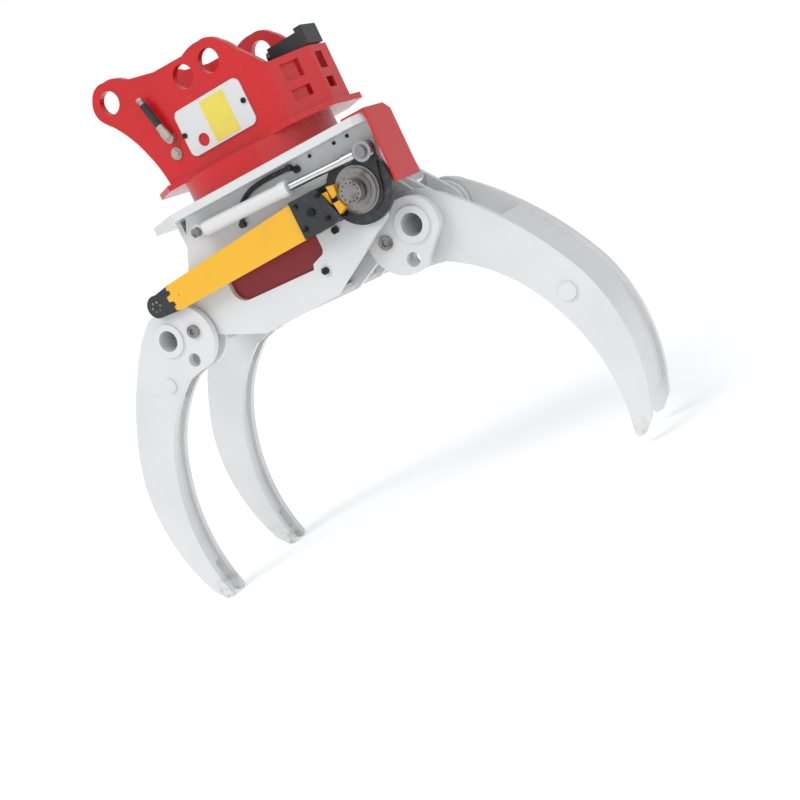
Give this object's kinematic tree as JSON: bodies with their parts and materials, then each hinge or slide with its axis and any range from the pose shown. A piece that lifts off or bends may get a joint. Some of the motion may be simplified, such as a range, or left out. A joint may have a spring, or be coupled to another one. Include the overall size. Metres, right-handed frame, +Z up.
{
  "type": "log grapple saw",
  "caption": "Rotating log grapple with interlocking curved tines, an inner hydraulic cylinder and a swing-out bar saw, hung from an excavator stick by pins.",
  "frame": {"origin": "middle of the stick pin's bore, on the grapple's mid-plane across Y", "axes": "+X along the stick line away from the stick pin, +Y across the grapple away from the saw's side, +Z up along the slew axis"},
  "size_m": [1.8823, 0.673, 1.8156],
  "materials": {
    "white_paint": "semi-gloss paint",
    "red_paint": "gloss paint",
    "dark_red_paint": "gloss paint",
    "black_paint": "satin paint",
    "yellow_paint": "satin paint",
    "orange_paint": "satin paint",
    "grey_steel": "worn, lightly oiled",
    "dark_steel": "blackened",
    "plated_steel": "zinc plated",
    "chrome": "polished",
    "bronze": "machined",
    "hose_rubber": "matt",
    "label_film": "matt film"
  },
  "bodies": {
    "head": {"head_bracket": "red_paint", "drum": "red_paint", "slew_ring_outer": "grey_steel", "access_cover": "white_paint", "cover_screws": "dark_steel", "data_plate": "label_film", "inlet_elbow": "plated_steel", "inlet_sleeve": "hose_rubber", "inlet_coupler": "plated_steel", "head_plug": "plated_steel", "slew_motor": "black_paint", "motor_bolts": "dark_steel"},
    "pinion": {"slew_pinion": "grey_steel"},
    "frame": {"top_plate": "white_paint", "main_frame": "white_paint", "slew_ring_inner": "grey_steel", "saw_base_plate": "white_paint", "pivot_bushes": "white_paint", "oil_tank": "dark_red_paint", "base_plate_bolts": "dark_steel", "base_plate_screws": "dark_steel", "ring_bolts": "dark_steel", "saw_guard": "red_paint", "swing_housing": "black_paint", "saw_motor": "black_paint", "barrel_stud": "grey_steel", "saw_hose": "hose_rubber"},
    "left_tine": {"left_arm_near": "white_paint", "left_arm_far": "white_paint", "left_torque_tube": "white_paint", "left_cranks": "white_paint", "left_crank_pin": "grey_steel", "left_ear_bolts": "grey_steel", "left_arm_pads": "white_paint"},
    "right_tine": {"right_arm": "white_paint", "right_ear_near": "white_paint", "right_ear_far": "white_paint", "right_hub_bosses": "white_paint", "right_torque_tube": "white_paint", "right_cranks": "white_paint", "right_crank_pin": "grey_steel", "right_ear_bolts": "grey_steel", "right_arm_pads": "white_paint"},
    "cylinder_barrel": {"grapple_barrel": "white_paint", "grapple_gland": "grey_steel"},
    "cylinder_rod": {"grapple_rod": "chrome"},
    "saw_arm": {"saw_arm": "black_paint", "saw_rings": "grey_steel", "bar_clamp_back": "black_paint", "bar_clamp_front": "black_paint", "bar_tensioners": "orange_paint", "guide_bar": "yellow_paint", "bar_nose": "black_paint", "nose_rivets": "grey_steel", "clamp_bolts": "dark_steel"},
    "sprocket": {"saw_sprocket": "grey_steel"},
    "saw_cylinder_barrel": {"saw_barrel": "white_paint"},
    "saw_cylinder_rod": {"saw_eye_pin": "grey_steel", "saw_rod": "chrome", "saw_eye_bearing": "grey_steel"}
  },
  "joints": [
    {"name": "slew", "type": "hinge", "parent": "head", "child": "frame", "pos_m": [0.344, 0, -0.441], "axis": [0, 0, 1], "continuous": true},
    {"name": "pinion_spin", "type": "hinge", "parent": "head", "child": "pinion", "pos_m": [0.524, 0, -0.415], "axis": [0, 0, 1], "continuous": true},
    {"name": "left_tine_swing", "type": "hinge", "parent": "frame", "child": "left_tine", "pos_m": [-0.151, 0, -0.81], "axis": [0, -1, 0], "range_deg": [-12, 52]},
    {"name": "right_tine_swing", "type": "hinge", "parent": "frame", "child": "right_tine", "pos_m": [0.839, 0, -0.81], "axis": [0, 1, 0], "range_deg": [-12, 52]},
    {"name": "cylinder_tilt", "type": "hinge", "parent": "left_tine", "child": "cylinder_barrel", "pos_m": [-0.10654, 0, -0.68784], "axis": [0, -1, 0], "range_deg": [-52.5, 12.5]},
    {"name": "cylinder_stroke", "type": "slide", "parent": "cylinder_barrel", "child": "cylinder_rod", "axis": [1, 0, 0], "range_m": [-0.053, 0.228]},
    {"name": "saw_swing", "type": "hinge", "parent": "frame", "child": "saw_arm", "pos_m": [0.766, 0, -0.64], "axis": [0, -1, 0], "range_deg": [0, 65]},
    {"name": "sprocket_spin", "type": "hinge", "parent": "frame", "child": "sprocket", "pos_m": [0.766, -0.3, -0.64], "axis": [0, -1, 0], "continuous": true},
    {"name": "saw_cylinder_tilt", "type": "hinge", "parent": "frame", "child": "saw_cylinder_barrel", "pos_m": [0.179, -0.3, -0.529], "axis": [0, -1, 0], "range_deg": [-0.2, 3.2]},
    {"name": "saw_cylinder_stroke", "type": "slide", "parent": "saw_cylinder_barrel", "child": "saw_cylinder_rod", "axis": [0.9997, 0, -0.0239], "range_m": [-0.135, 0.001]}
  ],
  "couplings": [
    {"joint": "pinion_spin", "follows": "slew", "ratio": 6},
    {"joint": "right_tine_swing", "follows": "left_tine_swing", "ratio": 1},
    {"joint": "cylinder_tilt", "follows": "left_tine_swing", "ratio": -1},
    {"joint": "cylinder_stroke", "follows": "left_tine_swing", "m_per_rad": 0.25},
    {"joint": "saw_cylinder_tilt", "follows": "saw_swing", "ratio": 0.045},
    {"joint": "saw_cylinder_stroke", "follows": "saw_swing", "m_per_rad": -0.11503}
  ]
}
